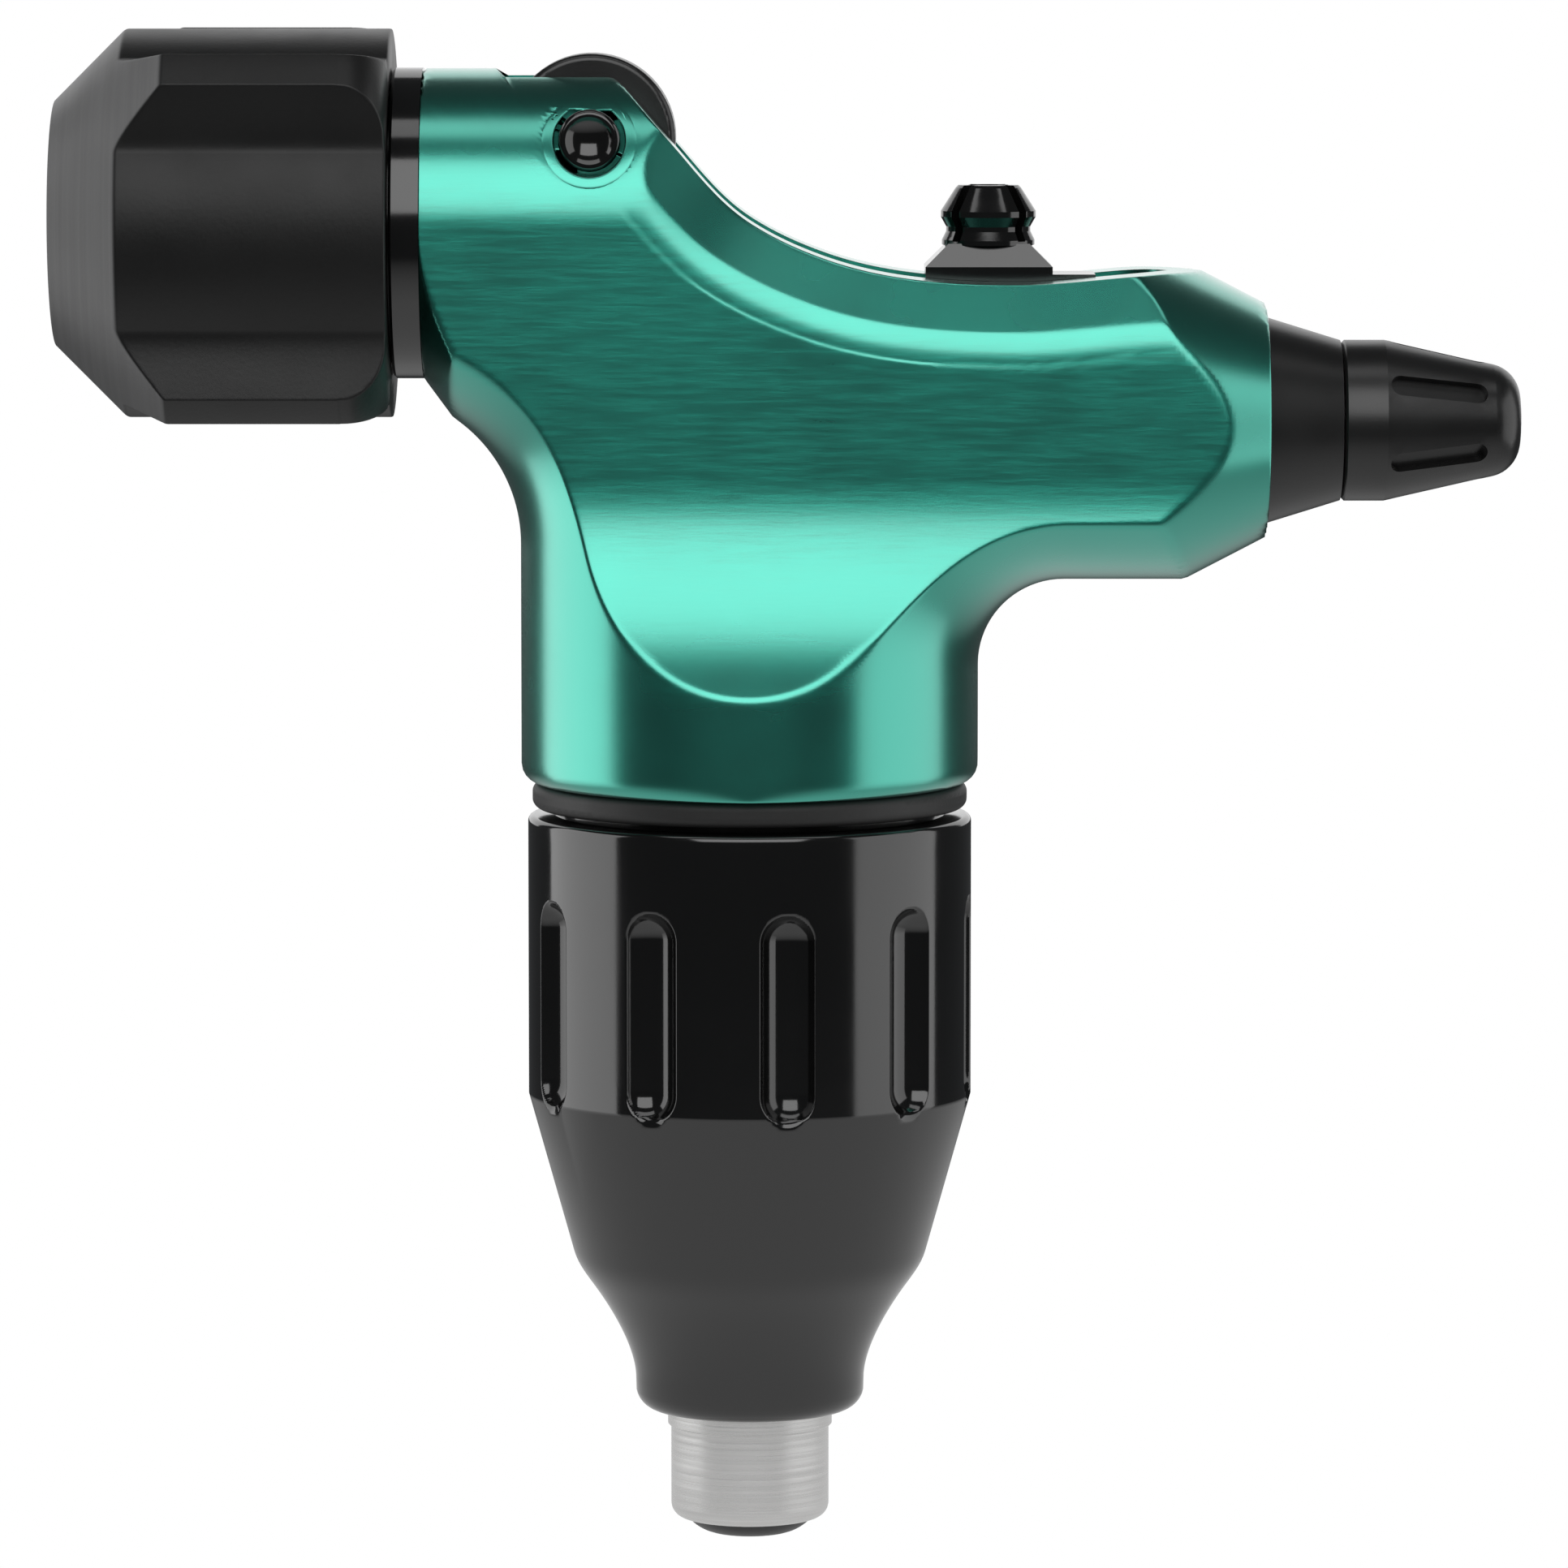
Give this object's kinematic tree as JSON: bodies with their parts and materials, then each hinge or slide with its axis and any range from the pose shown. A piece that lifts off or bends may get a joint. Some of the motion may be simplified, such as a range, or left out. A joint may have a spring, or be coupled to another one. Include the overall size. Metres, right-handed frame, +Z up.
{
  "type": "rotary tattoo machine",
  "caption": "Hand-held rotary tattoo machine: green metal body, black tube vise knob, barbed needle post, rear give dial and fluted motor grip ending in a phono jack.",
  "frame": {"origin": "centre of the tube mouth in the front of the vise", "axes": "+X runs back along the needle axis to the rear dial, +Z is up away from the motor, +Y is the far side in a left-facing view"},
  "size_m": [0.0763, 0.0239, 0.0791],
  "materials": {
    "green_anodised": "teal-green anodised, brushed along the sides",
    "matte_black": "matte black hard coat, fine orange peel",
    "gloss_black": "glossy black anodised",
    "satin_black": "satin black anodised",
    "rubber": "soft black rubber",
    "tool_steel": "oiled dark steel",
    "bearing_steel": "ground steel",
    "spring_steel": "drawn spring wire",
    "clear_aluminium": "turned and clear anodised",
    "brass": "turned brass",
    "bronze": "sintered bronze",
    "motor_steel": "nickel-plated steel",
    "magnet": "sintered magnet",
    "copper": "enamelled copper",
    "black_plastic": "moulded black plastic",
    "nickel": "fine turned nickel plate",
    "gold_contact": "gold-plated",
    "red_wire": "soft red insulation",
    "black_wire": "soft black insulation"
  },
  "bodies": {
    "body": {"bush_screw": "tool_steel", "dial_collar": "satin_black", "dial_o_ring": "rubber", "frame": "green_anodised", "ground_tag": "brass", "knob_o_ring": "rubber", "knob_snap_ring": "tool_steel", "lead_ground": "black_wire", "lead_live": "red_wire", "motor_brushes": "brass", "motor_can": "motor_steel", "motor_end_cap": "black_plastic", "motor_front_bearing": "brass", "motor_housing": "gloss_black", "motor_magnet": "magnet", "motor_rear_bearing": "brass", "motor_ring": "clear_aluminium", "motor_terminals": "brass", "plunger_key": "tool_steel", "rca_contact": "gold_contact", "rca_insulator": "black_plastic", "rca_nut": "nickel", "rca_shell": "nickel", "roller_axle": "gloss_black", "roller_axle_cap": "gloss_black", "roller_washers": "tool_steel", "seal_ring": "rubber", "slide_bush": "bronze", "vise_collar": "gloss_black"},
    "vise_knob": {"vise_knob": "matte_black"},
    "collet": {"collet": "clear_aluminium"},
    "roller": {"roller_wheel": "satin_black"},
    "rotor": {"motor_shaft": "bearing_steel", "motor_winding": "copper", "commutator": "copper", "cam_hub": "brass", "cam_set_screw": "tool_steel", "cam_pin": "bearing_steel", "bearing_inner_ring": "bearing_steel"},
    "cam_bearing": {"bearing_outer_ring": "bearing_steel", "bearing_balls": "bearing_steel"},
    "slide": {"yoke": "clear_aluminium", "slide_rod": "bearing_steel", "needle_post": "gloss_black", "post_screw": "tool_steel"},
    "dial": {"dial_cap": "satin_black", "dial_spindle": "bearing_steel", "spindle_clip": "tool_steel"},
    "plunger": {"spring_plunger": "clear_aluminium", "give_spring": "spring_steel"}
  },
  "joints": [
    {"name": "knob_turn", "type": "hinge", "parent": "body", "child": "vise_knob", "pos_m": [0, 0, 0], "axis": [1, 0, 0], "range_deg": [-270, 0]},
    {"name": "collet_travel", "type": "slide", "parent": "body", "child": "collet", "axis": [1, 0, 0], "range_m": [-0.00076, 0]},
    {"name": "roller_spin", "type": "hinge", "parent": "body", "child": "roller", "pos_m": [0.0279, 0, 0.00446], "axis": [0, 1, 0], "continuous": true},
    {"name": "rotor_spin", "type": "hinge", "parent": "body", "child": "rotor", "pos_m": [0.0361, 0, -0.02], "axis": [0, 0, 1], "continuous": true},
    {"name": "bearing_spin", "type": "hinge", "parent": "rotor", "child": "cam_bearing", "pos_m": [0.0361, -0.00175, -0.0103], "axis": [0, 0, 1], "continuous": true},
    {"name": "needle_stroke", "type": "slide", "parent": "body", "child": "slide", "axis": [1, 0, 0], "range_m": [-0.00175, 0.00175], "deforming": ["give_spring"]},
    {"name": "dial_turn", "type": "hinge", "parent": "body", "child": "dial", "pos_m": [0.07, 0, -0.01028], "axis": [1, 0, 0], "range_deg": [-540, 540]},
    {"name": "plunger_travel", "type": "slide", "parent": "body", "child": "plunger", "axis": [1, 0, 0], "range_m": [-0.00105, 0.00105]}
  ],
  "couplings": [
    {"joint": "collet_travel", "follows": "knob_turn", "m_per_rad": 0.00015915},
    {"joint": "dial_turn", "follows": "plunger_travel", "rad_per_m": 8976}
  ]
}
